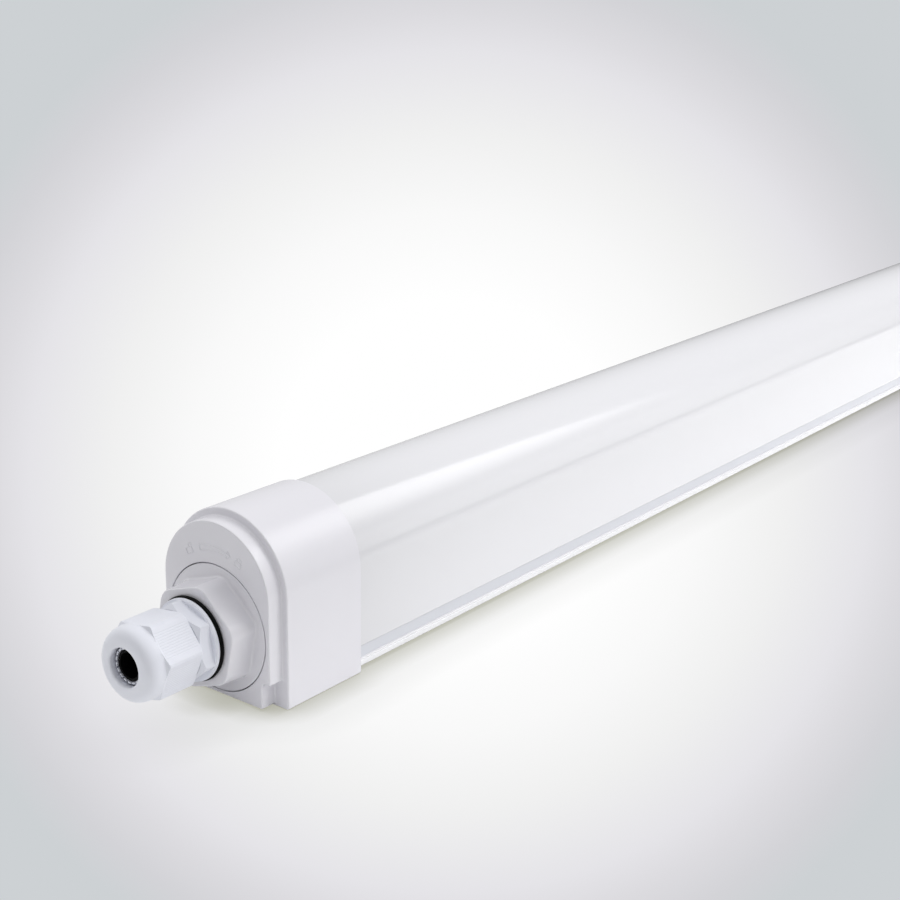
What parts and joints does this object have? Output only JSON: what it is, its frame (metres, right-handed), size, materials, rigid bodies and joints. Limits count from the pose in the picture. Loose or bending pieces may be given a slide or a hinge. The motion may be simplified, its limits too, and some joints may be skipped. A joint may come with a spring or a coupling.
{
  "type": "batten light",
  "caption": "Sealed linear batten light: opal arched diffuser on a flat base between moulded end caps, with a twist-lock end plug and a cable gland.",
  "frame": {"origin": "centre of the base's flat underside", "axes": "+X along the light, away from the cable gland; +Z from the flat base up through the diffuser; -Y is the long side to the left of someone who looks along +X"},
  "size_m": [0.7162, 0.0512, 0.0632],
  "materials": {
    "moulded_white": "satin moulded white",
    "opal_diffuser": "smooth extruded opal white",
    "white_extrusion": "smooth extruded white",
    "gland_nylon": "moulded pale grey nylon",
    "black_rubber": "matt black",
    "foam_gasket": "matt grey foam",
    "enamelled_steel": "smooth white enamel",
    "circuit_board": "white solder resist",
    "driver_plastic": "fine textured white",
    "ivory_plastic": "smooth ivory",
    "zinc_steel": "bright zinc plate",
    "brown_insulation": "smooth brown",
    "blue_insulation": "smooth blue",
    "green_insulation": "smooth green",
    "red_insulation": "smooth red"
  },
  "bodies": {
    "root": {"base_extrusion": "white_extrusion", "diffuser": "opal_diffuser", "front_end_cap": "moulded_white", "rear_end_cap": "moulded_white", "front_cap_gasket": "foam_gasket", "rear_cap_gasket": "foam_gasket", "gear_tray": "enamelled_steel", "led_board_1": "circuit_board", "led_board_2": "circuit_board", "board_jumper": "ivory_plastic", "board_feed_plug": "ivory_plastic", "driver_case": "driver_plastic", "driver_lid": "driver_plastic", "driver_board": "circuit_board", "terminal_block": "ivory_plastic", "earth_screw": "zinc_steel", "wire_live": "brown_insulation", "wire_neutral": "blue_insulation", "wire_earth": "green_insulation", "wire_led_plus": "black_rubber", "wire_led_minus": "red_insulation"},
    "front_seal": {"front_plug_oring": "black_rubber"},
    "front_plug": {"front_twist_plug": "moulded_white", "gland_body": "gland_nylon", "gland_oring": "black_rubber"},
    "claw_set": {"gland_claw": "gland_nylon", "gland_seal": "black_rubber"},
    "dome_nut": {"gland_nut": "gland_nylon"},
    "rear_seal": {"rear_plug_oring": "black_rubber"},
    "rear_plug": {"rear_twist_plug": "moulded_white", "blanking_plug": "gland_nylon", "blanking_oring": "black_rubber"}
  },
  "joints": [
    {"name": "front_plug_slide", "type": "slide", "parent": "root", "child": "front_seal", "axis": [-1, 0, 0], "range_m": [0, 0.0015]},
    {"name": "front_plug_twist", "type": "hinge", "parent": "front_seal", "child": "front_plug", "pos_m": [-0.33, 0, 0.0227], "axis": [-1, 0, 0], "range_deg": [0, 45]},
    {"name": "claw_slide", "type": "slide", "parent": "front_plug", "child": "claw_set", "axis": [-1, 0, 0], "range_m": [0, 0.006]},
    {"name": "nut_twist", "type": "hinge", "parent": "claw_set", "child": "dome_nut", "pos_m": [-0.357, 0, 0.0227], "axis": [-1, 0, 0], "range_deg": [0, 1440]},
    {"name": "rear_plug_slide", "type": "slide", "parent": "root", "child": "rear_seal", "axis": [1, 0, 0], "range_m": [0, 0.0015]},
    {"name": "rear_plug_twist", "type": "hinge", "parent": "rear_seal", "child": "rear_plug", "pos_m": [0.33, 0, 0.0227], "axis": [1, 0, 0], "range_deg": [0, 45]}
  ],
  "couplings": [
    {"joint": "front_plug_slide", "follows": "front_plug_twist", "m_per_rad": 0.0019098},
    {"joint": "claw_slide", "follows": "nut_twist", "m_per_rad": 0.00023873},
    {"joint": "rear_plug_slide", "follows": "rear_plug_twist", "m_per_rad": 0.0019098}
  ]
}
